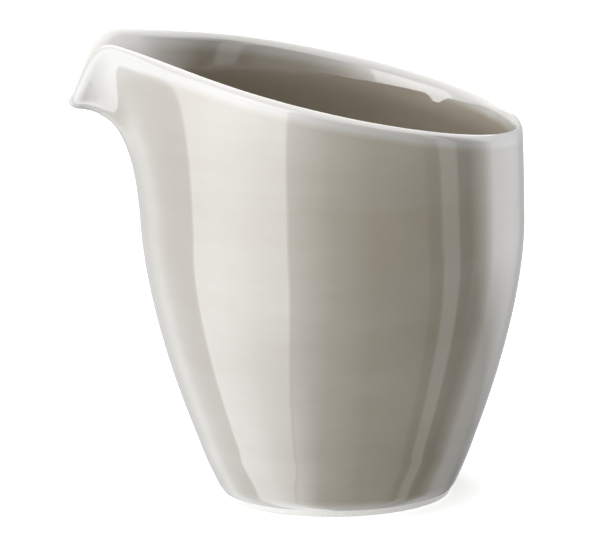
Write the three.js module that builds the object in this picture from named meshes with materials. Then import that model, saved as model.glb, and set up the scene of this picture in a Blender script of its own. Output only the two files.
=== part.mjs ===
// A porcelain cream jug without a handle: an egg-shaped round body whose rim leans up towards
// a drawn-out, beak-like pouring spout. The jug is one casting of porcelain, and its glaze is
// fused on in separate coats: outside, inside, over the rim, and in the hollow under the foot.
//
// Millimetres, +Z up, the spout towards -X, standing on z = 0.
//
// Each layer is first turned as a plain upright cup, the blank, with the foot's radius all the
// way up and a level rim. Every point of the blank is then moved to its place in the jug wall.

import * as THREE from "three";
import { mergeVertices } from "three/addons/utils/BufferGeometryUtils.js";

// Round body, measured over the glaze.
const FOOT_RADIUS = 23.7;
const BELLY_RADIUS = 40.0;
const BELLY_HEIGHT = 59.0;
const FULLNESS_BELOW_BELLY = 1.62;
const FULLNESS_ABOVE_BELLY = 4.0;

// Rim: a flat cut through the wall's middle that leans up towards the spout.
const RIM_HEIGHT = 86.0;
const RIM_LEAN = THREE.MathUtils.degToRad(13.6);
const LEAN_ONSET = 2;

// Spout: the front of the rim drawn forwards, then let down into a channel. The wall is thicker
// at the lip by the swell's share.
const SPOUT_REACH = 17.9;
const SPOUT_SPREAD = 10.0;
const SPOUT_ONSET = 8.3;
const LIP_DROP = 14.0;
const CHANNEL_HALF_WIDTH = 6.7;
const CHANNEL_SQUARENESS = 3.0;
const LIP_ONSET = 7.2;
const LIP_SWELL = 0.3;

// Porcelain.
const WALL = 2.6;
const FLOOR = 3.0;
const FLOOR_FILLET = 9.0;
const FOOT_RING_WIDTH = 3.4;
const FOOT_RECESS = 2.0;
const FOOT_ROUNDING = 0.5;

// Glaze coats, and the hairline that keeps each one a solid of its own.
const GLAZE = 0.25;
const BOND = 0.05;
const COAT_SEAM = 0.3;
const BARE_FOOT_HEIGHT = 1.6;
const RIM_BAND = 3.0;

// Fineness of the faceted solids.
const COLUMNS = 48;
const COLUMN_CROWDING = 0.6;
const ROW_CROWDING = 1.4;
const OUTER_ROWS = 12;
const INNER_ROWS = 11;
const BAND_ROWS = 2;
const RIM_ARC_STEPS = 3;
const FILLET_STEPS = 3;
const DIFFERENCE_STEP = 1e-4;

// What follows from the sizes above.
const COAT = GLAZE + BOND;
const HALF_WALL = WALL / 2;
const HALF_THICKNESS = HALF_WALL + COAT;
const FOOT_MIDDLE = FOOT_RADIUS - HALF_THICKNESS;
const BELLY_MIDDLE = BELLY_RADIUS - HALF_THICKNESS;
const FLOOR_UNDERSIDE = FOOT_RECESS + COAT;
const FLOOR_TOP = FLOOR_UNDERSIDE + FLOOR;
const BAND_EDGE = RIM_HEIGHT - RIM_BAND;

// Radius of the wall's middle at a height, before the spout is drawn out.
function middleRadius(height) {
  const away = Math.abs(1 - height / BELLY_HEIGHT);
  const fullness = height < BELLY_HEIGHT ? FULLNESS_BELOW_BELLY : FULLNESS_ABOVE_BELLY;
  return BELLY_MIDDLE - (BELLY_MIDDLE - FOOT_MIDDLE) * away ** fullness;
}

// Height of the leaning rim at an angle round the jug. The wall's radius there depends on the
// height, and the height on the radius, so a few passes settle both.
function rimPlane(angle) {
  let radius = BELLY_MIDDLE;
  let height = RIM_HEIGHT;
  for (let pass = 0; pass < 4; pass += 1) {
    height = RIM_HEIGHT + Math.tan(RIM_LEAN) * radius * Math.cos(angle);
    radius = middleRadius(height);
  }
  return { height, radius };
}

// How far the rim is drawn out at an angle and its distance aside, from 0 to 1 at the spout.
function drawnShare(angle, aside) {
  return Math.max(Math.cos(angle), 0) ** 2 / Math.cosh(aside / SPOUT_SPREAD);
}

// The point on the wall's middle surface. The angle is zero at the spout, and the level runs
// from 0 at the foot to 1 at the rim.
function middlePoint(angle, level) {
  const rim = rimPlane(angle);
  const aside = rim.radius * Math.sin(angle);
  const drawn = drawnShare(angle, aside);
  const narrowing = (Math.abs(aside) / CHANNEL_HALF_WIDTH) ** CHANNEL_SQUARENESS;
  const channel = Math.cos(angle) > 0 ? Math.exp(-narrowing) : 0;
  const rise = rim.height - RIM_HEIGHT + Math.tan(RIM_LEAN) * SPOUT_REACH * drawn;
  const height = RIM_HEIGHT * level + rise * level ** LEAN_ONSET;
  const radius = middleRadius(height);
  return new THREE.Vector3(
    -radius * Math.cos(angle) - SPOUT_REACH * drawn * level ** SPOUT_ONSET,
    radius * Math.sin(angle),
    height - LIP_DROP * channel * level ** LIP_ONSET,
  );
}

// The middle point with the directions up along the wall and square out of it.
function wallFrame(angle, level) {
  const upper = Math.min(level + DIFFERENCE_STEP, 1);
  const lower = Math.max(upper - 2 * DIFFERENCE_STEP, 0);
  const up = middlePoint(angle, upper).sub(middlePoint(angle, lower)).normalize();
  const round = middlePoint(angle + DIFFERENCE_STEP, level)
    .sub(middlePoint(angle - DIFFERENCE_STEP, level));
  const out = new THREE.Vector3().crossVectors(up, round).normalize();
  return { middle: middlePoint(angle, level), up, out };
}

// Moves one point of the blank into the jug. At the foot and floor the blank only widens with
// the wall; above the floor the distance across the wall is laid off square to the wall, and
// swells towards the lip.
function placeInJug(point) {
  const blankRadius = Math.hypot(point.x, point.y);
  const blankAngle = Math.atan2(point.y, -point.x);
  const angle = blankAngle - COLUMN_CROWDING * Math.sin(blankAngle);
  const level = THREE.MathUtils.clamp(point.z / RIM_HEIGHT, 0, 1);
  const { middle, up, out } = wallFrame(angle, level);

  const widened = blankRadius * Math.hypot(middle.x, middle.y) / FOOT_MIDDLE;
  const upright = new THREE.Vector3(-widened * Math.cos(angle), widened * Math.sin(angle), point.z);
  const drawn = drawnShare(angle, rimPlane(angle).radius * Math.sin(angle));
  const swell = 1 + LIP_SWELL * drawn * level ** LIP_ONSET;
  const across = (blankRadius - FOOT_MIDDLE) * swell;
  const above = Math.max(point.z - RIM_HEIGHT, 0) * swell;
  const square = middle.clone().addScaledVector(out, across).addScaledVector(up, above);
  const blend = THREE.MathUtils.smoothstep(point.z, FLOOR_TOP + 2 * COAT, FLOOR_TOP + FLOOR_FILLET);
  return upright.lerp(square, blend);
}

// A lathe splits a quad along the diagonal that its profile's direction gives. Turning the
// diagonals where a profile runs downwards splits two faces that lie on each other alike.
function matchDiagonals(blank) {
  const places = blank.getAttribute("position");
  const corners = blank.getIndex().array;
  for (let quad = 0; quad < corners.length; quad += 6) {
    const [first, across, above, opposite] = corners.slice(quad, quad + 4);
    if (places.getZ(above) < places.getZ(first)) {
      corners.set([first, across, opposite, first, opposite, above], quad);
    }
  }
}

// Turns a closed profile of (radius, height) points into a blank and shapes it.
function shapedLathe(profile) {
  const blank = new THREE.LatheGeometry(profile, COLUMNS).rotateX(Math.PI / 2);
  matchDiagonals(blank);
  blank.deleteAttribute("normal");
  blank.deleteAttribute("uv");
  const places = blank.getAttribute("position");
  const point = new THREE.Vector3();
  for (let index = 0; index < places.count; index += 1) {
    point.fromBufferAttribute(places, index);
    places.setXYZ(index, ...placeInJug(point));
  }
  const shaped = mergeVertices(blank);
  shaped.computeVertexNormals();
  return shaped;
}

// Points straight up or down one face of the blank wall, closer together towards the rim. Faces
// that lie on each other use the same rows, and a coat that ends early stops at its own top.
function wallRows(across, from, to, count, top = Infinity) {
  const low = Math.min(from, to);
  const high = Math.max(from, to);
  const rows = [];
  for (let row = 0; row <= count; row += 1) {
    const height = high - (high - low) * (1 - row / count) ** ROW_CROWDING;
    rows.push(new THREE.Vector2(FOOT_MIDDLE + across, Math.min(height, top)));
  }
  return from < to ? rows : rows.reverse();
}

// A quarter or half circle of profile points, both ends included.
function arcPoints(centreRadius, centreHeight, radius, startTurn, endTurn, steps) {
  const points = [];
  for (let step = 0; step <= steps; step += 1) {
    const turn = THREE.MathUtils.lerp(startTurn, endTurn, step / steps) * 2 * Math.PI;
    const across = radius * Math.cos(turn);
    const height = radius * Math.sin(turn);
    points.push(new THREE.Vector2(centreRadius + across, centreHeight + height));
  }
  return points;
}

// The rounded top of a layer, from its outer face over to its inner face or back.
function rimArc(halfThickness, startTurn, endTurn) {
  return arcPoints(FOOT_MIDDLE, RIM_HEIGHT, halfThickness, startTurn, endTurn, 2 * RIM_ARC_STEPS);
}

// The inside of the jug at a distance over the porcelain's inner face, from the rim band's edge
// or a lower top down the wall and round the fillet to the middle of the floor.
function insideFace(depth, top = BAND_EDGE) {
  const across = -HALF_WALL - depth;
  const centreHeight = FLOOR_TOP + FLOOR_FILLET;
  const radius = FLOOR_FILLET - depth;
  const centreRadius = FOOT_MIDDLE - HALF_WALL - FLOOR_FILLET;
  return [
    ...wallRows(across, BAND_EDGE, centreHeight, INNER_ROWS, top),
    ...arcPoints(centreRadius, centreHeight, radius, 1, 0.75, FILLET_STEPS).slice(1),
    new THREE.Vector2(0, FLOOR_TOP + depth),
  ];
}

function porcelainProfile() {
  const ringInside = FOOT_RADIUS - FOOT_RING_WIDTH;
  const bodyRadius = FOOT_MIDDLE + HALF_WALL;
  const rounding = FOOT_ROUNDING;
  return [
    new THREE.Vector2(0, FLOOR_UNDERSIDE),
    ...arcPoints(ringInside - rounding, FLOOR_UNDERSIDE - rounding, rounding, 0.25, 0, 2),
    ...arcPoints(ringInside + rounding, rounding, rounding, 0.5, 0.75, 2),
    ...arcPoints(bodyRadius - rounding, rounding, rounding, 0.75, 1, 2),
    ...wallRows(HALF_WALL, BARE_FOOT_HEIGHT, BAND_EDGE, OUTER_ROWS),
    ...wallRows(HALF_WALL, BAND_EDGE, RIM_HEIGHT, BAND_ROWS).slice(1),
    ...rimArc(HALF_WALL, 0, 0.5).slice(1),
    ...wallRows(-HALF_WALL, RIM_HEIGHT, BAND_EDGE, BAND_ROWS).slice(1),
    ...insideFace(0).slice(1),
  ];
}

function outerGlazeProfile() {
  const top = BAND_EDGE - COAT_SEAM;
  const loop = [
    ...wallRows(HALF_WALL + COAT, BARE_FOOT_HEIGHT, BAND_EDGE, OUTER_ROWS, top),
    ...wallRows(HALF_WALL + BOND, BAND_EDGE, BARE_FOOT_HEIGHT, OUTER_ROWS, top),
  ];
  return [...loop, loop[0].clone()];
}

function rimGlazeProfile() {
  const outside = HALF_WALL + COAT;
  const under = HALF_WALL + BOND;
  const loop = [
    ...wallRows(outside, BAND_EDGE, RIM_HEIGHT, BAND_ROWS),
    ...rimArc(outside, 0, 0.5).slice(1),
    ...wallRows(-outside, RIM_HEIGHT, BAND_EDGE, BAND_ROWS).slice(1),
    ...wallRows(-under, BAND_EDGE, RIM_HEIGHT, BAND_ROWS),
    ...rimArc(under, 0.5, 0).slice(1),
    ...wallRows(under, RIM_HEIGHT, BAND_EDGE, BAND_ROWS).slice(1),
  ];
  return [...loop, loop[0].clone()];
}

function innerGlazeProfile() {
  const top = BAND_EDGE - COAT_SEAM;
  return [
    ...insideFace(BOND, top).reverse(),
    ...insideFace(COAT, top),
  ];
}

function undersideGlazeProfile() {
  const edge = FOOT_RADIUS - FOOT_RING_WIDTH - FOOT_ROUNDING - COAT_SEAM;
  return [
    new THREE.Vector2(0, FLOOR_UNDERSIDE - COAT),
    new THREE.Vector2(edge, FLOOR_UNDERSIDE - COAT),
    new THREE.Vector2(edge, FLOOR_UNDERSIDE - BOND),
    new THREE.Vector2(0, FLOOR_UNDERSIDE - BOND),
  ];
}

function porcelainMaterial() {
  return new THREE.MeshStandardMaterial({ color: 0xf1efe9, roughness: 0.55, metalness: 0 });
}

function taupeGlazeMaterial() {
  return new THREE.MeshStandardMaterial({ color: 0xa79e91, roughness: 0.1, metalness: 0 });
}

function innerGlazeMaterial() {
  return new THREE.MeshStandardMaterial({ color: 0x9c9284, roughness: 0.12, metalness: 0 });
}

function paleGlazeMaterial() {
  return new THREE.MeshStandardMaterial({ color: 0xe9e6df, roughness: 0.1, metalness: 0 });
}

function clearGlazeMaterial() {
  return new THREE.MeshStandardMaterial({ color: 0xeeece6, roughness: 0.15, metalness: 0 });
}

// Makes one named layer from its profile.
function layer(name, profile, material) {
  const mesh = new THREE.Mesh(shapedLathe(profile), material);
  mesh.name = name;
  return mesh;
}

const group = new THREE.Group();
group.add(
  layer("porcelain_body", porcelainProfile(), porcelainMaterial()),
  layer("outer_glaze", outerGlazeProfile(), taupeGlazeMaterial()),
  layer("inner_glaze", innerGlazeProfile(), innerGlazeMaterial()),
  layer("rim_glaze", rimGlazeProfile(), paleGlazeMaterial()),
  layer("underside_glaze", undersideGlazeProfile(), clearGlazeMaterial()),
);

// The origin lies under the middle of the whole length, spout included, on the table.
const middle = new THREE.Box3().setFromObject(group, true).getCenter(new THREE.Vector3());
group.position.set(-middle.x, -middle.y, 0);

export default group;
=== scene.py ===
"""A handleless porcelain cream jug in a taupe glaze that thins to white at its rim and foot.

The jug is an egg-shaped round body with a leaning rim and a drawn-out, beak-like spout. Each
layer is first laid out as a plain upright cup, the blank, and every point of the blank is then
moved to its place in the jug wall. All sizes are metres, +Z is up and the spout points to -X.
"""

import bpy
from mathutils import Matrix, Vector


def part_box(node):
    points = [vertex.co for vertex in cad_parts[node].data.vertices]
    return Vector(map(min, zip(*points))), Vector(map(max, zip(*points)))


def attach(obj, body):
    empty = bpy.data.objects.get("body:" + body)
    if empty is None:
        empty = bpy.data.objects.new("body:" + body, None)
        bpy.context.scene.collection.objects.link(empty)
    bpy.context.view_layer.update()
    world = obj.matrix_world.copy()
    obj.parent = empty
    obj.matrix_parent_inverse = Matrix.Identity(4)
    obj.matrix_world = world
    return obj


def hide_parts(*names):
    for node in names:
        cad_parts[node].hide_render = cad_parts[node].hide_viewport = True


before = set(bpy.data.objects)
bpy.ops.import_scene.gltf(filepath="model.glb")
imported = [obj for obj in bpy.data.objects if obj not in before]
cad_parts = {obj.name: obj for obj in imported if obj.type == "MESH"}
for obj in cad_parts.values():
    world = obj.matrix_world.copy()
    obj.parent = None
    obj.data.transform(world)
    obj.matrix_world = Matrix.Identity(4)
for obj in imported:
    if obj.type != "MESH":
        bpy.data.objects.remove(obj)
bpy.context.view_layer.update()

import logging
import math
from dataclasses import dataclass, field
from enum import Enum

import bpy
import numpy as np
from mathutils import Matrix, Vector

MM = 0.001
ROOT_BODY = "root"
DEPTH_ATTRIBUTE = "glaze_depth"
log = logging.getLogger("cream_jug")

Colour = tuple[float, float, float]
Pair = tuple[float, float]
Stops = tuple[Pair, ...]
Socket = bpy.types.NodeSocket


class Face(Enum):
    """Which face of the wall a row of points lies on, by its sign across the wall."""

    OUTSIDE = 1
    INSIDE = -1


class Maths(Enum):
    """What a maths node does with two values."""

    SUM = "ADD"
    PRODUCT = "MULTIPLY"
    LARGER = "MAXIMUM"
    BEARING = "ARCTAN2"


class Easing(Enum):
    """How a mapped range runs between its ends."""

    STRAIGHT = "LINEAR"
    SOFT = "SMOOTHSTEP"


def smooth_ramp(value: np.ndarray, low: float, high: float) -> np.ndarray:
    """Rises smoothly from 0 at low to 1 at high.

    Args:
        value: The numbers to ramp.
        low: Where the ramp leaves 0.
        high: Where the ramp reaches 1.

    Returns:
        The ramped numbers, each between 0 and 1.
    """
    share = np.clip((value - low) / (high - low), 0.0, 1.0)
    return share * share * (3.0 - 2.0 * share)


def add_object(name: str, data: bpy.types.ID) -> bpy.types.Object:
    """Makes an object and links it to the scene.

    Args:
        name: The object's name.
        data: Its mesh, light or camera.

    Returns:
        The object.
    """
    added = bpy.data.objects.new(name, data)
    bpy.context.scene.collection.objects.link(added)
    return added


@dataclass(frozen=True)
class JugForm:
    """The jug's shape as a formula round an upright axis.

    The fullness numbers say how long the wall keeps the belly's width, below and above it. The
    onset numbers say how close to the rim the lean, the spout and the lip begin.
    """

    axis_x: float
    belly_radius: float
    foot_radius: float = 23.7 * MM
    belly_height: float = 59.0 * MM
    fullness_below: float = 1.62
    fullness_above: float = 4.0
    belly_turn: float = 0.12
    rim_height: float = 86.0 * MM
    rim_slope: float = math.tan(math.radians(13.6))
    lean_onset: float = 2.0
    spout_reach: float = 17.9 * MM
    spout_spread: float = 10.0 * MM
    spout_onset: float = 8.3
    lip_drop: float = 14.0 * MM
    channel_half_width: float = 6.7 * MM
    channel_squareness: float = 3.0
    lip_onset: float = 7.2
    lip_swell: float = 0.3
    wall: float = 2.6 * MM
    floor: float = 3.0 * MM
    floor_fillet: float = 9.0 * MM
    foot_ring_width: float = 3.4 * MM
    foot_recess: float = 2.0 * MM
    glaze: float = 0.25 * MM
    bond: float = 0.05 * MM
    bare_foot: float = 1.6 * MM
    rim_band: float = 3.0 * MM
    rim_thinning: float = 1.2 * MM
    rim_thinning_depth: float = 7.0 * MM
    rim_passes: int = 4
    step: float = 1e-4

    @property
    def coat(self) -> float:
        """How far the glazed surface stands off the porcelain."""
        return self.glaze + self.bond

    @property
    def half_wall(self) -> float:
        """Half the porcelain wall."""
        return self.wall / 2

    @property
    def half_thickness(self) -> float:
        """Half the glazed wall."""
        return self.half_wall + self.coat

    @property
    def foot_middle(self) -> float:
        """Radius of the wall's middle at the foot, which is the blank's radius."""
        return self.foot_radius - self.half_thickness

    @property
    def belly_middle(self) -> float:
        """Radius of the wall's middle at the belly."""
        return self.belly_radius - self.half_thickness

    @property
    def floor_underside(self) -> float:
        """Height of the porcelain floor's underside."""
        return self.foot_recess + self.coat

    @property
    def floor_top(self) -> float:
        """Height of the porcelain floor's top."""
        return self.floor_underside + self.floor

    @property
    def fillet_centre(self) -> Pair:
        """Radius and height in the blank of the middle of the fillet inside."""
        radius = self.foot_middle - self.half_wall - self.floor_fillet
        return radius, self.floor_top + self.floor_fillet

    @property
    def band_edge(self) -> float:
        """Height in the blank at which the rim's band of glaze begins."""
        return self.rim_height - self.rim_band

    def middle_radius(self, height: np.ndarray) -> np.ndarray:
        """Gives the radius of the wall's middle before the spout is drawn out.

        Args:
            height: Heights above the table.

        Returns:
            The radius at each height.
        """
        away = 1.0 - height / self.belly_height
        half = np.where(away > 0.0, self.fullness_below, self.fullness_above) / 2
        turn = self.belly_turn**2
        eased = ((away**2 + turn) ** half - turn**half) / ((1.0 + turn) ** half - turn**half)
        return self.belly_middle - (self.belly_middle - self.foot_middle) * eased

    def rim_plane(self, angle: np.ndarray) -> tuple[np.ndarray, np.ndarray]:
        """Finds where the leaning plane of the rim cuts the round wall.

        Args:
            angle: Angles round the jug, zero at the spout.

        Returns:
            The rim's height and the wall's radius there.
        """
        radius = np.full_like(angle, self.belly_middle)
        height = np.full_like(angle, self.rim_height)
        for _ in range(self.rim_passes):
            height = self.rim_height + self.rim_slope * radius * np.cos(angle)
            radius = self.middle_radius(height)
        return height, radius

    def drawn_share(self, angle: np.ndarray) -> np.ndarray:
        """Gives how far the rim is drawn out into the spout.

        Args:
            angle: Angles round the jug, zero at the spout.

        Returns:
            The share, from 0 at the sides and back to 1 at the spout.
        """
        _, rim_radius = self.rim_plane(angle)
        facing = np.maximum(np.cos(angle), 0.0)
        return facing**2 / np.cosh(rim_radius * np.sin(angle) / self.spout_spread)

    def middle_point(self, angle: np.ndarray, level: np.ndarray) -> np.ndarray:
        """Places points on the wall's middle surface.

        Args:
            angle: Angles round the jug, zero at the spout.
            level: 0 at the foot and 1 at the rim.

        Returns:
            The points, with the jug's axis at x = 0.
        """
        rim_height, rim_radius = self.rim_plane(angle)
        aside = rim_radius * np.sin(angle)
        drawn = self.drawn_share(angle)
        narrow = np.exp(-((np.abs(aside) / self.channel_half_width) ** self.channel_squareness))
        channel = np.where(np.cos(angle) > 0.0, narrow, 0.0)
        rise = rim_height - self.rim_height + self.rim_slope * self.spout_reach * drawn
        height = self.rim_height * level + rise * level**self.lean_onset
        radius = self.middle_radius(height)
        forward = self.spout_reach * drawn * level**self.spout_onset
        return np.stack(
            [
                -radius * np.cos(angle) - forward,
                radius * np.sin(angle),
                height - self.lip_drop * channel * level**self.lip_onset,
            ],
            axis=-1,
        )

    def wall_frame(self, angle: np.ndarray, level: np.ndarray) -> tuple[np.ndarray, ...]:
        """Gives the middle point with the directions up the wall and square out of it.

        Args:
            angle: Angles round the jug.
            level: Levels up the wall.

        Returns:
            The middle points, the upward directions and the outward directions.
        """
        upper = np.minimum(level + self.step, 1.0)
        lower = np.maximum(upper - 2.0 * self.step, 0.0)
        up = self.middle_point(angle, upper) - self.middle_point(angle, lower)
        up /= np.linalg.norm(up, axis=-1, keepdims=True)
        round_wall = self.middle_point(angle + self.step, level)
        round_wall -= self.middle_point(angle - self.step, level)
        out = np.cross(up, round_wall)
        out /= np.linalg.norm(out, axis=-1, keepdims=True)
        return self.middle_point(angle, level), up, out

    def place(self, radius: np.ndarray, height: np.ndarray, angle: np.ndarray) -> np.ndarray:
        """Moves points of the blank into the jug.

        At the foot and floor the blank only widens with the wall. Above the floor the distance
        across the wall is laid off square to the wall. Near the rim the inner face is thinned.

        Args:
            radius: Radii in the blank.
            height: Heights in the blank.
            angle: Angles round the jug.

        Returns:
            The points in the jug's own frame.
        """
        level = np.clip(height / self.rim_height, 0.0, 1.0)
        middle, up, out = self.wall_frame(angle, level)
        widened = radius * np.hypot(middle[..., 0], middle[..., 1]) / self.foot_middle
        upright = np.stack([-widened * np.cos(angle), widened * np.sin(angle), height], axis=-1)

        near_rim = np.maximum(1.0 - (self.rim_height - height) / self.rim_thinning_depth, 0.0)
        inward = np.clip(0.5 - (radius - self.foot_middle) / (2.0 * self.half_thickness), 0.0, 1.0)
        swell = 1.0 + self.lip_swell * self.drawn_share(angle) * level**self.lip_onset
        across = (radius - self.foot_middle) * swell + self.rim_thinning * near_rim**2 * inward
        above = np.maximum(height - self.rim_height, 0.0) * swell
        square = middle + out * across[..., None] + up * above[..., None]
        low, high = self.floor_top + 2.0 * self.coat, self.floor_top + self.floor_fillet
        blend = smooth_ramp(height, low, high)[..., None]
        points = upright * (1.0 - blend) + square * blend
        points[..., 0] += self.axis_x
        return points


@dataclass(frozen=True)
class GlazeBreak:
    """How the glaze thins and turns pale towards the rim, the lip and the foot."""

    rim_pale: float = 0.1 * MM
    rim_full: float = 2.4 * MM
    rim_share: float = 0.8
    rim_end: float = 20.0 * MM
    lip_stretch: float = 12.0 * MM
    foot_pale: float = 0.1 * MM
    foot_full: float = 2.2 * MM

    def depth(self, form: JugForm, height: np.ndarray, angle: np.ndarray) -> np.ndarray:
        """Gives the depth of colour of the glaze at points of the blank.

        Args:
            form: The jug's shape.
            height: Heights in the blank.
            angle: Angles round the jug.

        Returns:
            0 where the glaze is thin and pale, up to 1 where it is full.
        """
        below_rim = form.rim_height - height
        full = self.rim_full + self.lip_stretch * form.drawn_share(angle) ** 2
        quick = smooth_ramp(below_rim / full, self.rim_pale / self.rim_full, 1.0)
        slow = smooth_ramp(below_rim, 0.0, self.rim_end)
        from_rim = quick * (self.rim_share + (1.0 - self.rim_share) * slow)
        above_foot = height - form.bare_foot
        from_foot = smooth_ramp(above_foot, self.foot_pale, self.foot_full)
        return from_rim * from_foot


@dataclass
class Outline:
    """A profile of the blank as radii and heights, with the rows where its face turns sharply."""

    radii: list[float] = field(default_factory=list)
    heights: list[float] = field(default_factory=list)
    corners: list[int] = field(default_factory=list)

    def line(self, start: Pair, end: Pair, count: int) -> None:
        """Adds a straight run, leaving out its first point if the outline already ends there.

        Args:
            start: Radius and height of the first point.
            end: Radius and height of the last point.
            count: How many equal steps the run has.
        """
        first = 1 if self.radii else 0
        for number in range(first, count + 1):
            share = number / count
            self.radii.append(start[0] + (end[0] - start[0]) * share)
            self.heights.append(start[1] + (end[1] - start[1]) * share)

    def arc(self, centre: Pair, radius: float, turns: Pair, count: int) -> None:
        """Adds part of a circle, leaving out its first point if the outline already ends there.

        Args:
            centre: Radius and height of the circle's centre.
            radius: The circle's radius.
            turns: Start and end as shares of a full turn.
            count: How many equal steps the arc has.
        """
        first = 1 if self.radii else 0
        for number in range(first, count + 1):
            turn = 2.0 * math.pi * (turns[0] + (turns[1] - turns[0]) * number / count)
            self.radii.append(centre[0] + radius * math.cos(turn))
            self.heights.append(centre[1] + radius * math.sin(turn))

    def corner(self) -> None:
        """Marks the last point as a sharp turn."""
        self.corners.append(len(self.radii) - 1)


@dataclass(frozen=True)
class Turner:
    """Makes a fine mesh by turning an outline and placing it in the jug."""

    form: JugForm
    glaze_break: GlazeBreak
    columns: int = 320
    crowding: float = 0.55

    def angles(self) -> np.ndarray:
        """Angles round the jug, closer together at the spout."""
        even = np.arange(self.columns) * 2.0 * math.pi / self.columns
        return even - self.crowding * np.sin(even)

    def turn(self, name: str, outline: Outline, closed: bool) -> bpy.types.Object:
        """Turns an outline into a mesh object.

        Args:
            name: The piece's name.
            outline: The profile, with the solid to its left as it runs.
            closed: True if the outline closes on itself, False if both ends lie on the axis.

        Returns:
            The new object, linked to the scene.
        """
        radii, heights = np.array(outline.radii), np.array(outline.heights)
        if closed:
            radii, heights = radii[:-1], heights[:-1]
        rows, columns = len(radii), self.columns
        angle = np.broadcast_to(self.angles(), (rows, columns))
        radius = np.broadcast_to(radii[:, None], (rows, columns))
        height = np.broadcast_to(heights[:, None], (rows, columns))
        places = self.form.place(radius, height, angle).reshape(-1, 3)
        depth = self.glaze_break.depth(self.form, height, angle).reshape(-1)
        faces = self._quads(rows, closed)
        if not closed:
            places, depth, faces = self._close_on_axis(places, depth, faces)
        return self._object(name, places, depth, faces, outline.corners, rows)

    def _quads(self, rows: int, closed: bool) -> list[tuple[int, ...]]:
        """Lists the quads of the turned grid.

        Args:
            rows: How many rows the grid has.
            closed: True if the last row joins the first.

        Returns:
            The corner numbers of each quad, facing outwards.
        """
        columns = self.columns
        last = rows if closed else rows - 1
        row, column = np.divmod(np.arange(last * columns), columns)
        base, above = row * columns, (row + 1) % rows * columns
        beside = (column + 1) % columns
        corners = (base + column, above + column, above + beside, base + beside)
        return [tuple(quad) for quad in np.stack(corners, axis=-1).tolist()]

    def _close_on_axis(
        self, places: np.ndarray, depth: np.ndarray, faces: list[tuple[int, ...]]
    ) -> tuple[np.ndarray, np.ndarray, list[tuple[int, ...]]]:
        """Replaces the first and last rows, which lie on the axis, by one point each.

        Args:
            places: All points, row by row.
            depth: The depth of colour at each point.
            faces: The grid's quads.

        Returns:
            The points, depths and faces of a mesh that is closed on the axis.
        """
        columns = self.columns
        first, last = places[:columns].mean(axis=0), places[-columns:].mean(axis=0)
        kept = places[columns:-columns]
        count = len(kept)
        moved = [count] * columns + list(range(count)) + [count + 1] * columns
        closed = [tuple(dict.fromkeys(moved[corner] for corner in face)) for face in faces]
        depths = np.concatenate([depth[columns:-columns], [1.0, 1.0]])
        return np.vstack([kept, first, last]), depths, closed

    def _object(
        self,
        name: str,
        places: np.ndarray,
        depth: np.ndarray,
        faces: list[tuple[int, ...]],
        corners: list[int],
        rows: int,
    ) -> bpy.types.Object:
        """Makes the mesh object with smooth faces, sharp corner rings and the depth of colour.

        Args:
            name: The piece's name.
            places: The points.
            depth: The depth of colour at each point.
            faces: Corner numbers of each face.
            corners: Rows that stay sharp.
            rows: How many rows the outline had.

        Returns:
            The new object.
        """
        mesh = bpy.data.meshes.new(name)
        mesh.from_pydata(places.tolist(), [], faces)
        mesh.polygons.foreach_set("use_smooth", np.ones(len(mesh.polygons), dtype=bool))
        shade = mesh.attributes.new(DEPTH_ATTRIBUTE, "FLOAT", "POINT")
        shade.data.foreach_set("value", depth.astype(np.float32))

        offset = 0 if len(places) == rows * self.columns else 1
        ends = np.empty(2 * len(mesh.edges), dtype=np.int32)
        mesh.edges.foreach_get("vertices", ends)
        edge_rows = ends.reshape(-1, 2) // self.columns + offset
        on_ring = (edge_rows[:, 0] == edge_rows[:, 1]) & np.isin(edge_rows[:, 0], corners)
        sharp = mesh.attributes.new("sharp_edge", "BOOLEAN", "EDGE")
        sharp.data.foreach_set("value", on_ring)
        mesh.update()
        return add_object(name, mesh)


@dataclass(frozen=True)
class Grain:
    """A noise laid over a surface: cells per metre, octaves of detail and a squeeze by axis."""

    scale: float
    detail: float
    squeeze: tuple[float, float, float] = (1.0, 1.0, 1.0)


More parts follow.
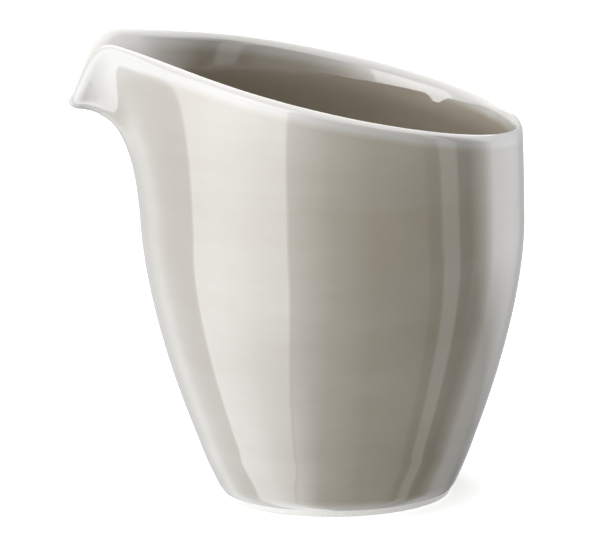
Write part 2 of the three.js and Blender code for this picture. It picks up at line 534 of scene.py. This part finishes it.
class NodeBench:
    """Adds and joins shader nodes in one tree."""

    def __init__(self, tree: bpy.types.NodeTree) -> None:
        """Keeps the tree that is worked on.

        Args:
            tree: The node tree.
        """
        self.tree = tree

    def add(self, kind: str, **settings: object) -> bpy.types.Node:
        """Adds a node and sets its properties.

        Args:
            kind: The node's type name.
            **settings: Properties of the node.

        Returns:
            The new node.
        """
        node = self.tree.nodes.new(kind)
        for key, value in settings.items():
            setattr(node, key, value)
        return node

    def join(self, source: Socket, target: Socket) -> None:
        """Links two sockets."""
        self.tree.links.new(source, target)

    def feed(self, value: Socket | float, target: Socket) -> None:
        """Links a value to an input if it comes from a node, or else sets it as a constant.

        Args:
            value: A socket or a number.
            target: The input.
        """
        if isinstance(value, Socket):
            self.join(value, target)
        else:
            target.default_value = value

    def noise(self, grain: Grain) -> Socket:
        """Adds a noise over the object's own coordinates.

        Args:
            grain: The noise's size, detail and squeeze.

        Returns:
            The noise's value, about 0.5 in the middle.
        """
        where = self.add("ShaderNodeTexCoord")
        squeeze = self.add("ShaderNodeMapping")
        squeeze.inputs["Scale"].default_value = grain.squeeze
        noise = self.add("ShaderNodeTexNoise", noise_dimensions="3D")
        noise.inputs["Scale"].default_value = grain.scale
        noise.inputs["Detail"].default_value = grain.detail
        self.join(where.outputs["Object"], squeeze.inputs["Vector"])
        self.join(squeeze.outputs["Vector"], noise.inputs["Vector"])
        return noise.outputs["Fac"]

    def spread(
        self,
        value: Socket,
        low: float,
        high: float,
        given: Pair = (0.0, 1.0),
        easing: Easing = Easing.STRAIGHT,
    ) -> Socket:
        """Maps a value from one range onto another, held at both ends.

        Args:
            value: The value.
            low: What the start of the given range becomes.
            high: What the end of the given range becomes.
            given: The range of the value.
            easing: How it runs between the ends.

        Returns:
            The mapped value.
        """
        ranger = self.add("ShaderNodeMapRange", clamp=True, interpolation_type=easing.value)
        names = ("From Min", "From Max", "To Min", "To Max")
        for name, number in zip(names, (*given, low, high)):
            ranger.inputs[name].default_value = number
        self.join(value, ranger.inputs["Value"])
        return ranger.outputs["Result"]

    def maths(self, kind: Maths, *values: Socket | float) -> Socket:
        """Takes two or more values together, from left to right.

        Args:
            kind: What is done with them.
            *values: Sockets or constants.

        Returns:
            The result.
        """
        total = values[0]
        for value in values[1:]:
            node = self.add("ShaderNodeMath", operation=kind.value)
            self.feed(total, node.inputs[0])
            self.feed(value, node.inputs[1])
            total = node.outputs[0]
        return total

    def ramp(self, share: Socket, *colours: tuple[float, Colour]) -> Socket:
        """Adds a ramp through two or more colours.

        Args:
            share: Where on the ramp a point lies, from 0 to 1.
            *colours: Places on the ramp and their colours, in rising order.

        Returns:
            The colour.
        """
        node = self.add("ShaderNodeValToRGB")
        elements = node.color_ramp.elements
        for number, (place, colour) in enumerate(colours):
            element = elements[number] if number < len(elements) else elements.new(place)
            element.position = place
            element.color = (*colour, 1.0)
        self.join(share, node.inputs["Fac"])
        return node.outputs["Color"]

    def bump(self, height: Socket, distance: float, strength: float) -> Socket:
        """Adds a bump.

        Args:
            height: The relief, from 0 to 1.
            distance: Height of the relief in metres.
            strength: Share of the relief that shows.

        Returns:
            The bent normal.
        """
        bump = self.add("ShaderNodeBump")
        bump.inputs["Strength"].default_value = strength
        bump.inputs["Distance"].default_value = distance
        self.join(height, bump.inputs["Height"])
        return bump.outputs["Normal"]


def start_material(name: str) -> tuple[bpy.types.Material, NodeBench, bpy.types.bpy_prop_collection]:
    """Makes a material with the standard shader.

    Args:
        name: The material's name.

    Returns:
        The material, its node bench and the shader's inputs.
    """
    material = bpy.data.materials.new(name)
    material.use_nodes = True
    shader = material.node_tree.nodes["Principled BSDF"]
    return material, NodeBench(material.node_tree), shader.inputs


@dataclass(frozen=True)
class GlazeFinish:
    """A glossy glaze that is full of colour where it is thick and pale where it is thin."""

    name: str
    thin: Colour
    middle: Colour
    full: Colour
    thin_until: float = 0.08
    middle_at: float = 0.6
    deepest: float = 0.86
    clouds: Grain = Grain(34.0, 3.0, (1.0, 1.0, 1.6))
    cloud_depth: float = 0.22
    streaks: Grain = Grain(90.0, 4.0, (0.5, 0.5, 3.2))
    streak_depth: float = 0.07
    polish: Grain = Grain(260.0, 2.0)
    smoothest: float = 0.0245
    roughest: float = 0.049
    ripple: Grain = Grain(70.0, 1.5)
    ripple_height: float = 0.06 * MM
    ripple_share: float = 0.35
    refraction: float = 1.52

    def material(self) -> bpy.types.Material:
        """Builds the material.

        Returns:
            The glaze's material.
        """
        material, bench, shader = start_material(self.name)
        shader["IOR"].default_value = self.refraction
        shader["Metallic"].default_value = 0.0

        depth = bench.add("ShaderNodeAttribute", attribute_name=DEPTH_ATTRIBUTE).outputs["Fac"]
        cloudiness = bench.spread(bench.noise(self.clouds), -self.cloud_depth, self.cloud_depth)
        streakiness = bench.spread(bench.noise(self.streaks), -self.streak_depth, self.streak_depth)
        colouring = bench.spread(depth, 0.0, self.deepest)
        colouring = bench.maths(Maths.SUM, colouring, cloudiness, streakiness)
        colours = ((self.thin_until, self.thin), (self.middle_at, self.middle), (1.0, self.full))
        bench.join(bench.ramp(colouring, *colours), shader["Base Color"])

        sheen = bench.spread(bench.noise(self.polish), self.smoothest, self.roughest)
        bench.join(sheen, shader["Roughness"])
        bent = bench.bump(bench.noise(self.ripple), self.ripple_height, self.ripple_share)
        bench.join(bent, shader["Normal"])
        return material


TAUPE_GLAZE = GlazeFinish(
    "taupe_glaze", thin=(0.50, 0.488, 0.463), middle=(0.40, 0.368, 0.312), full=(0.30, 0.266, 0.204)
)
# The same taupe glaze as the outside, copied with lighter colours: painted light standing in for the
# light that falls inside the jug.
INNER_GLAZE_PAINTED_LIGHTER = GlazeFinish(
    "inner_taupe_glaze", thin=(0.56, 0.54, 0.50), middle=(0.41, 0.37, 0.308), full=(0.325, 0.286, 0.226)
)
CLEAR_GLAZE = GlazeFinish(
    "clear_glaze", thin=(0.85, 0.835, 0.80), middle=(0.84, 0.825, 0.79), full=(0.83, 0.815, 0.78)
)


@dataclass(frozen=True)
class BarePorcelainFinish:
    """Fired porcelain without glaze: white, matt and finely grained."""

    name: str = "bare_porcelain"
    dark: Colour = (0.81, 0.793, 0.755)
    light: Colour = (0.86, 0.845, 0.81)
    dark_until: float = 0.25
    light_from: float = 0.6
    grain: Grain = Grain(1500.0, 3.0)
    grain_height: float = 0.01 * MM
    grain_share: float = 0.4
    smoothest: float = 0.42
    roughest: float = 0.6

    def material(self) -> bpy.types.Material:
        """Builds the material.

        Returns:
            The porcelain's material.
        """
        material, bench, shader = start_material(self.name)
        grain = bench.noise(self.grain)
        colour = bench.ramp(grain, (self.dark_until, self.dark), (self.light_from, self.light))
        bench.join(colour, shader["Base Color"])
        bench.join(bench.spread(grain, self.smoothest, self.roughest), shader["Roughness"])
        bench.join(bench.bump(grain, self.grain_height, self.grain_share), shader["Normal"])
        return material


@dataclass
class GlazeCoats:
    """The glaze on the jug: outside, over the rim, inside and under the foot.

    Each coat has a fine glazed face and a coarser hidden face against the porcelain.
    """

    turner: Turner
    outside_rows: int = 120
    inside_rows: int = 90
    band_rows: int = 14
    rim_steps: int = 24
    fillet_steps: int = 20
    floor_rings: int = 24
    hidden_wall_rows: int = 12
    hidden_band_rows: int = 4
    hidden_rim_steps: int = 8
    hidden_fillet_steps: int = 6
    hidden_floor_rings: int = 4
    edge_feather: float = 1.6 * MM
    edge_steps: int = 8
    underside_inset: float = 0.8 * MM
    underside_rings: int = 16
    underside_edge_steps: int = 6
    hidden_underside_rings: int = 6

    @property
    def form(self) -> JugForm:
        """The jug's shape."""
        return self.turner.form

    def _wall(self, outline: Outline, off: float, face: Face, heights: Pair, rows: int) -> None:
        """Adds a run of rows up or down one face of the wall.

        Args:
            outline: The outline to add to.
            off: Distance from the porcelain's face.
            face: The face of the wall.
            heights: Start and end heights.
            rows: How many steps the run has.
        """
        radius = self.form.foot_middle + face.value * (self.form.half_wall + off)
        outline.line((radius, heights[0]), (radius, heights[1]), rows)

    def outer_coat(self) -> bpy.types.Object:
        """Makes the coat outside, thinning out to its lower edge above the bare foot.

        Returns:
            The coat.
        """
        form = self.form
        outline = Outline()
        bottom = form.bare_foot
        inner = form.foot_middle + form.half_wall + form.bond
        for number in range(self.edge_steps + 1):
            share = number / self.edge_steps
            outline.radii.append(inner + form.glaze * share * (2.0 - share))
            outline.heights.append(bottom + self.edge_feather * share)
        edge = form.band_edge
        self._wall(outline, form.coat, Face.OUTSIDE, (outline.heights[-1], edge), self.outside_rows)
        outline.corner()
        self._wall(outline, form.bond, Face.OUTSIDE, (edge, edge), 1)
        outline.corner()
        self._wall(outline, form.bond, Face.OUTSIDE, (edge, bottom), self.hidden_wall_rows)
        outline.corners.append(0)
        return self.turner.turn("taupe_glaze_outside", outline, closed=True)

    def rim_coat(self) -> bpy.types.Object:
        """Makes the coat over the rim and the lip.

        Returns:
            The coat.
        """
        form = self.form
        outline = Outline()
        edge, top = form.band_edge, form.rim_height
        crown = (form.foot_middle, top)
        self._wall(outline, form.coat, Face.OUTSIDE, (edge, top), self.band_rows)
        outline.arc(crown, form.half_thickness, (0.0, 0.5), self.rim_steps)
        self._wall(outline, form.coat, Face.INSIDE, (top, edge), self.band_rows)
        outline.corner()
        self._wall(outline, form.bond, Face.INSIDE, (edge, edge), 1)
        outline.corner()
        self._wall(outline, form.bond, Face.INSIDE, (edge, top), self.hidden_band_rows)
        outline.arc(crown, form.half_wall + form.bond, (0.5, 0.0), self.hidden_rim_steps)
        self._wall(outline, form.bond, Face.OUTSIDE, (top, edge), self.hidden_band_rows)
        outline.corner()
        self._wall(outline, form.coat, Face.OUTSIDE, (edge, edge), 1)
        outline.corners.append(0)
        return self.turner.turn("pale_glaze_over_rim", outline, closed=True)

    def _inside(self, outline: Outline, off: float, rows: int, steps: int, rings: int) -> None:
        """Adds the inside from the band's edge down the wall and over the floor to the axis.

        Args:
            outline: The outline to add to.
            off: Distance from the porcelain's face.
            rows: Steps down the wall.
            steps: Steps round the fillet.
            rings: Steps over the floor.
        """
        form = self.form
        fillet = form.fillet_centre
        self._wall(outline, off, Face.INSIDE, (form.band_edge, fillet[1]), rows)
        outline.arc(fillet, form.floor_fillet - off, (1.0, 0.75), steps)
        outline.line((fillet[0], form.floor_top + off), (0.0, form.floor_top + off), rings)

    def inner_coat(self) -> bpy.types.Object:
        """Makes the coat inside, down the wall and over the floor.

        Returns:
            The coat.
        """
        form = self.form
        under = Outline()
        steps, rings = self.hidden_fillet_steps, self.hidden_floor_rings
        self._inside(under, form.bond, self.hidden_wall_rows, steps, rings)
        outline = Outline(under.radii[::-1], under.heights[::-1])
        outline.corner()
        self._wall(outline, form.coat, Face.INSIDE, (form.band_edge, form.band_edge), 1)
        outline.corner()
        self._inside(outline, form.coat, self.inside_rows, self.fillet_steps, self.floor_rings)
        return self.turner.turn("taupe_glaze_inside", outline, closed=False)

    def underside_coat(self) -> bpy.types.Object:
        """Makes the clear coat in the hollow under the foot, with a rounded edge.

        Returns:
            The coat.
        """
        form = self.form
        lowest = form.floor_underside - form.coat
        highest = form.floor_underside - form.bond
        radius = form.foot_radius - form.foot_ring_width - self.underside_inset
        edge = (radius, (lowest + highest) / 2)
        outline = Outline()
        outline.line((0.0, lowest), (radius, lowest), self.underside_rings)
        outline.arc(edge, (highest - lowest) / 2, (-0.25, 0.25), self.underside_edge_steps)
        outline.line((radius, highest), (0.0, highest), self.hidden_underside_rings)
        return self.turner.turn("clear_glaze_under_foot", outline, closed=False)

    def build(self) -> list[bpy.types.Object]:
        """Builds and dresses the four coats.

        Returns:
            The pieces.
        """
        taupe = TAUPE_GLAZE.material()
        coats = [
            (self.outer_coat(), "outer_glaze", "taupe_glaze", taupe),
            (self.rim_coat(), "rim_glaze", "pale_glaze", taupe),
            # The inner coat takes the lighter copy of the glaze, painted light for the inside of the
            # jug.
            (self.inner_coat(), "inner_glaze", "inner_taupe_glaze", INNER_GLAZE_PAINTED_LIGHTER.material()),
            (self.underside_coat(), "underside_glaze", "clear_glaze", CLEAR_GLAZE.material()),
        ]
        for piece, node, slot, material in coats:
            dress(piece, material, node)
        return [coat[0] for coat in coats]


@dataclass
class PorcelainCasting:
    """The fired porcelain under the glaze, bare only on the foot ring."""

    turner: Turner
    foot_rounding: float = 0.5 * MM
    round_steps: int = 8
    wall_rows: int = 40
    floor_rings: int = 8
    ring_rows: int = 3
    foot_rings: int = 4

    def build(self) -> list[bpy.types.Object]:
        """Builds and dresses the casting.

        Returns:
            The piece in a list.
        """
        form, steps, rounding = self.turner.form, self.round_steps, self.foot_rounding
        ring_inside = form.foot_radius - form.foot_ring_width
        outside = form.foot_middle + form.half_wall
        inside = form.foot_middle - form.half_wall
        underside, fillet = form.floor_underside, form.fillet_centre
        outline = Outline()
        outline.line((0.0, underside), (ring_inside - rounding, underside), self.floor_rings)
        outline.arc((ring_inside - rounding, underside - rounding), rounding, (0.25, 0.0), steps)
        outline.line((ring_inside, underside - rounding), (ring_inside, rounding), self.ring_rows)
        outline.arc((ring_inside + rounding, rounding), rounding, (0.5, 0.75), steps)
        outline.line((ring_inside + rounding, 0.0), (outside - rounding, 0.0), self.foot_rings)
        outline.arc((outside - rounding, rounding), rounding, (0.75, 1.0), steps)
        outline.line((outside, rounding), (outside, form.rim_height), self.wall_rows)
        outline.arc((form.foot_middle, form.rim_height), form.half_wall, (0.0, 0.5), steps)
        outline.line((inside, form.rim_height), (inside, fillet[1]), self.wall_rows)
        outline.arc(fillet, form.floor_fillet, (1.0, 0.75), steps)
        outline.line((fillet[0], form.floor_top), (0.0, form.floor_top), self.floor_rings)
        piece = self.turner.turn("porcelain_casting", outline, closed=False)
        dress(piece, BarePorcelainFinish().material(), "porcelain_body")
        return [piece]


def dress(piece: bpy.types.Object, material: bpy.types.Material, node: str) -> None:
    """Gives a piece its material and ties it to the frame.

    Args:
        piece: The piece.
        material: Its material.
        node: The node of the frame that it stands for.
    """
    piece.data.materials.append(material)
    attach(piece, ROOT_BODY)
    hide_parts(node)


def direction(azimuth: float, elevation: float) -> Vector:
    """Gives the way from the jug to a place in the studio.

    Args:
        azimuth: Degrees round the studio, 0 on the near side and negative to the left.
        elevation: Degrees above the table.

    Returns:
        A vector of length 1.
    """
    around, above = math.radians(azimuth), math.radians(elevation)
    flat = math.cos(above)
    return Vector((math.sin(around) * flat, -math.cos(around) * flat, math.sin(above)))


@dataclass(frozen=True)
class StudioFloor:
    """A plain pale floor."""

    half_width: float = 3.0
    tone: Colour = (0.8, 0.8, 0.8)
    own_light: float = 0.6
    grain: Grain = Grain(40.0, 2.0)
    smoothest: float = 0.75
    roughest: float = 0.9

    def build(self) -> None:
        """Builds the floor, which glossy and diffuse rays do not see."""
        half = self.half_width
        mesh = bpy.data.meshes.new("studio_floor")
        corners = [(-half, -half, 0.0), (half, -half, 0.0), (half, half, 0.0), (-half, half, 0.0)]
        mesh.from_pydata(corners, [], [(0, 1, 2, 3)])
        floor = add_object("studio_floor", mesh)
        material, bench, shader = start_material("pale_floor")
        shader["Base Color"].default_value = (*self.tone, 1.0)
        shader["Specular IOR Level"].default_value = 0.0
        shader["Emission Color"].default_value = (1.0, 1.0, 1.0, 1.0)
        shader["Emission Strength"].default_value = self.own_light
        matt = bench.spread(bench.noise(self.grain), self.smoothest, self.roughest)
        bench.join(matt, shader["Roughness"])
        mesh.materials.append(material)
        floor.visible_glossy = False
        floor.visible_diffuse = False


@dataclass(frozen=True)
class Softbox:
    """One soft area light."""

    name: str
    azimuth: float
    elevation: float
    distance: float
    width: float
    height: float
    power: float

    def build(self, target: Vector) -> None:
        """Places the light and points it at a target.

        Args:
            target: The point that it faces.
        """
        back = direction(self.azimuth, self.elevation)
        data = bpy.data.lights.new(self.name, "AREA")
        data.shape = "RECTANGLE"
        data.size, data.size_y = self.width, self.height
        data.energy = self.power
        light = add_object(self.name, data)
        light.location = target + back * self.distance
        light.rotation_euler = (-back).to_track_quat("-Z", "Y").to_euler()
        light.visible_glossy = False
        light.visible_camera = False


@dataclass(frozen=True)
class Skylight:
    """A wide, even light from straight above."""

    strength: float = 3.2
    spread: float = 40.0

    def build(self) -> None:
        """Builds the light."""
        data = bpy.data.lights.new("skylight", "SUN")
        data.energy = self.strength
        data.angle = math.radians(self.spread)
        light = add_object("skylight", data)
        light.visible_glossy = False
        light.visible_camera = False


class RoomBench(NodeBench):
    """A bench for the room's nodes, which works by the azimuth and elevation that a ray has."""

    def __init__(self, tree: bpy.types.NodeTree) -> None:
        """Keeps the tree, and adds the azimuth in radians and the rise, the elevation's sine.

        Args:
            tree: The world's node tree.
        """
        super().__init__(tree)
        where = self.add("ShaderNodeTexCoord")
        split = self.add("ShaderNodeSeparateXYZ")
        self.join(where.outputs["Generated"], split.inputs[0])
        across, away, self.rise = split.outputs
        self.azimuth = self.maths(Maths.BEARING, across, self.maths(Maths.PRODUCT, away, -1.0))

    def background(self, strength: Socket | float, tint: Colour) -> Socket:
        """Adds a background.

        Args:
            strength: How bright it is.
            tint: Its colour.

        Returns:
            The background's socket.
        """
        background = self.add("ShaderNodeBackground")
        background.inputs["Color"].default_value = (*tint, 1.0)
        self.feed(strength, background.inputs["Strength"])
        return background.outputs[0]

    def mix(self, share: Socket, first: Socket, second: Socket) -> Socket:
        """Mixes two backgrounds.

        Args:
            share: The share of the second.
            first: One background.
            second: The other background.

        Returns:
            The mixed background.
        """
        node = self.add("ShaderNodeMixShader")
        for source, target in zip((share, first, second), node.inputs):
            self.join(source, target)
        return node.outputs[0]

    def turn_share(self, azimuth: Socket) -> Socket:
        """Turns an azimuth into a share of the full turn.

        Args:
            azimuth: The azimuth in radians.

        Returns:
            The share, 0 at -180 degrees.
        """
        return self.spread(azimuth, 0.0, 1.0, (-math.pi, math.pi))

    def dial(self, share: Socket, stops: Stops) -> Socket:
        """Adds a value that changes with azimuth from stop to stop.

        Args:
            share: The azimuth as a share of the full turn, 0 at -180 degrees.
            stops: Azimuths in degrees and the values there.

        Returns:
            The value.
        """
        values = [value for _, value in stops]
        low, high = min(values), max(values)
        tones = []
        for azimuth, value in stops:
            tone = (value - low) / (high - low)
            tones.append(((azimuth + 180.0) / 360.0, (tone, tone, tone)))
        return self.spread(self.ramp(share, *tones), low, high)

    def edge(self, start: float, end: float) -> Socket:
        """Adds a soft edge at an elevation.

        Args:
            start: Elevation in degrees at which the value is 0.
            end: Elevation in degrees at which the value is 1.

        Returns:
            The value, from 0 to 1.
        """
        sines = (math.sin(math.radians(start)), math.sin(math.radians(end)))
        return self.spread(self.rise, 0.0, 1.0, sines, Easing.SOFT)


@dataclass(frozen=True)
class StudioRoom:
    """The room round the jug: an even glow for matt surfaces, and panels for the glaze to mirror.

    Each stop is an azimuth in degrees, with 0 on the near side and negative to the left, and a
    value there: the room's brightness, the degrees that the panels lean below the slant level, or
    the share of brightness left low down. Apart from the right panel's azimuths, the other angles
    are elevations in degrees. A pair of angles is where a soft edge starts and ends.
    """

    brightness: Stops = (
        (-180.0, 0.45), (-150.0, 1.7), (-132.0, 3.3), (-118.0, 3.6), (-104.0, 4.3),
        (-93.0, 5.1), (-92.0, 8.3), (-74.0, 10.0), (-60.0, 10.3), (-27.5, 9.2),
        (-26.5, 5.4), (0.0, 2.2), (24.0, 0.9), (58.0, 0.7), (60.0, 0.3),
        (68.0, 0.3), (70.0, 1.5), (81.0, 1.5), (83.0, 0.3), (91.0, 0.3),
        (104.0, 2.4), (114.0, 4.6), (132.0, 3.2), (156.0, 1.1), (180.0, 0.45),
    )
    even_slant: Stops = (
        (-180.0, 0.0), (-130.0, 25.0), (-90.0, 25.0), (-45.0, 0.0),
        (20.0, 0.0), (60.0, -21.0), (130.0, -21.0), (180.0, 0.0),
    )
    steep_slant: Stops = (
        (-180.0, 0.0), (-90.0, 0.0), (-60.0, 100.0),
        (-20.0, 80.0), (20.0, 0.0), (180.0, 0.0),
    )
    low_share: Stops = (
        (-180.0, 0.68), (-27.5, 0.68), (-24.0, 1.15),
        (50.0, 1.15), (70.0, 0.68), (180.0, 0.68),
    )
    slant_level: float = -0.2
    low_edge: Pair = (-24.0, -65.0)
    right_panel_azimuths: Pair = (96.0, 102.0)
    right_panel_foot: Pair = (-34.0, -12.0)
    right_panel_rest: float = 0.35
    panel_top: float = 22.0
    upper_wall_from: float = 25.0
    upper_wall: float = 4.5
    overhead_edge: Pair = (50.0, 56.0)
    overhead: float = 0.5
    panel_tint: Colour = (0.975, 0.99, 1.01)
    glow_edge: Pair = (5.0, -60.0)
    glow_above: float = 0.2
    glow_below: float = 1.25
    glow_tint: Colour = (0.8, 0.8, 0.8)
    backdrop: float = 1.0
    backdrop_tint: Colour = (1.0, 1.0, 1.0)

    def build(self) -> None:
        """Builds the world: plain to the camera, panels to the glaze and a glow to the rest."""
        world = bpy.data.worlds.new("studio_room")
        bpy.context.scene.world = world
        world.use_nodes = True
        world.node_tree.nodes.clear()
        bench = RoomBench(world.node_tree)
        plain = bench.background(self.backdrop, self.backdrop_tint)
        below = bench.edge(*self.glow_edge)
        even = bench.spread(below, self.glow_above, self.glow_below)
        glow = bench.background(even, self.glow_tint)
        panels = bench.background(self._panels(bench), self.panel_tint)
        rays = bench.add("ShaderNodeLightPath").outputs
        lit = bench.mix(rays["Is Glossy Ray"], glow, panels)
        seen = bench.mix(rays["Is Camera Ray"], lit, plain)
        output = bench.add("ShaderNodeOutputWorld")
        bench.join(seen, output.inputs["Surface"])

    def _slanted(self, bench: RoomBench) -> Socket:
        """Leans the panels: shifts azimuths by more the lower down they are.

        Args:
            bench: The world's node bench.

        Returns:
            The leaning azimuth as a share of the full turn.
        """
        below = bench.maths(Maths.SUM, bench.rise, -self.slant_level)
        below = bench.maths(Maths.PRODUCT, below, -1.0)
        upright = bench.turn_share(bench.azimuth)
        even = bench.maths(Maths.PRODUCT, bench.dial(upright, self.even_slant), below)
        steep = bench.dial(upright, self.steep_slant)
        steep = bench.maths(Maths.PRODUCT, steep, below, below, below)
        degrees = bench.maths(Maths.SUM, even, steep)
        slant = bench.maths(Maths.PRODUCT, degrees, math.radians(1.0))
        return bench.turn_share(bench.maths(Maths.SUM, bench.azimuth, slant))

    def _right_panel(self, bench: RoomBench) -> Socket:
        """Gives the share of brightness left to the right, where the panel ends above the floor.

        Args:
            bench: The world's node bench.

        Returns:
            The share.
        """
        start, end = self.right_panel_azimuths
        turn = (math.radians(start), math.radians(end))
        share = bench.spread(bench.azimuth, 1.0, self.right_panel_rest, turn, Easing.SOFT)
        return bench.maths(Maths.LARGER, share, bench.edge(*self.right_panel_foot))

    def _panels(self, bench: RoomBench) -> Socket:
        """Gives the brightness of the panels all round, and of the wall and light above them.

        Args:
            bench: The world's node bench.

        Returns:
            The brightness.
        """
        slanted = self._slanted(bench)
        top, upper = self.panel_top, self.upper_wall_from
        panels = bench.dial(slanted, self.brightness)
        panels = bench.maths(Maths.PRODUCT, panels, bench.edge(upper, top))
        panels = bench.maths(Maths.PRODUCT, panels, self._right_panel(bench))
        wall = bench.maths(Maths.PRODUCT, bench.edge(top, upper), self.upper_wall)
        overhead = bench.edge(*self.overhead_edge)
        overhead = bench.maths(Maths.PRODUCT, overhead, self.overhead)
        brightness = bench.maths(Maths.SUM, panels, wall, overhead)
        change = bench.maths(Maths.SUM, bench.dial(slanted, self.low_share), -1.0)
        change = bench.maths(Maths.PRODUCT, change, bench.edge(*self.low_edge))
        return bench.maths(Maths.PRODUCT, brightness, bench.maths(Maths.SUM, change, 1.0))


@dataclass(frozen=True)
class StudioCamera:
    """A long lens a little above the jug, with the spout to its left."""

    azimuth: float = 0.69
    elevation: float = 11.46
    roll: float = -1.0
    distance: float = 1.453
    lens: float = 419.8
    sensor: float = 36.0
    clip_start: float = 0.05
    clip_end: float = 20.0
    aim_height: float = 49.0 * MM
    aim_right: float = -7.67 * MM
    aim_up: float = -1.71 * MM

    def build(self, axis_x: float) -> None:
        """Places the camera.

        Args:
            axis_x: Where the jug's axis stands.
        """
        back = direction(self.azimuth, self.elevation)
        data = bpy.data.cameras.new("studio_camera")
        data.sensor_width = self.sensor
        data.lens = self.lens
        data.clip_start, data.clip_end = self.clip_start, self.clip_end
        camera = add_object("studio_camera", data)
        turned = (-back).to_track_quat("-Z", "Y").to_matrix().to_4x4()
        rolled = turned @ Matrix.Rotation(math.radians(self.roll), 4, "Z")
        right, up = rolled.col[0].to_3d(), rolled.col[1].to_3d()
        aim = Vector((axis_x, 0.0, self.aim_height)) + right * self.aim_right + up * self.aim_up
        camera.matrix_world = Matrix.Translation(aim + back * self.distance) @ rolled
        bpy.context.scene.camera = camera


@dataclass(frozen=True)
class Studio:
    """The plain pale room that the jug stands in."""

    key: Softbox = Softbox(
        "key_softbox", azimuth=-28.0, elevation=8.0, distance=1.6, width=1.3, height=0.45, power=12.0
    )
    left: Softbox = Softbox(
        "left_softbox", azimuth=-80.0, elevation=48.0, distance=1.6, width=1.0, height=1.0, power=10.0
    )
    right: Softbox = Softbox(
        "right_softbox", azimuth=75.0, elevation=25.0, distance=1.8, width=1.0, height=1.4, power=0.8
    )

    def build(self, target: Vector) -> None:
        """Builds the floor, the lights, the room and the camera.

        Args:
            target: The middle of the jug, on its axis.
        """
        StudioFloor().build()
        StudioRoom().build()
        Skylight().build()
        for softbox in (self.key, self.left, self.right):
            softbox.build(target)
        StudioCamera().build(target.x)
        settings = bpy.context.scene.view_settings
        settings.view_transform = "Standard"
        settings.look = "None"


def jug_form() -> JugForm:
    """Takes the jug's axis and belly from the frame.

    Returns:
        The jug's shape, standing where the frame has it.
    """
    disc_low, disc_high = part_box("underside_glaze")
    belly_low, belly_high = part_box("outer_glaze")
    axis_x = (disc_low[0] + disc_high[0]) / 2
    return JugForm(axis_x=axis_x, belly_radius=(belly_high[1] - belly_low[1]) / 2)


def main() -> None:
    """Builds the jug and its studio, and reports each piece."""
    logging.basicConfig(level=logging.INFO, format="%(name)s: %(message)s")
    form = jug_form()
    turner = Turner(form, GlazeBreak())
    pieces = PorcelainCasting(turner).build() + GlazeCoats(turner).build()
    for piece in pieces:
        size = [round(side / MM, 1) for side in piece.dimensions]
        log.info("%s: %d faces, %s mm", piece.name, len(piece.data.polygons), size)
    Studio().build(Vector((form.axis_x, 0.0, form.belly_height)))


if __name__ == "__main__":
    main()
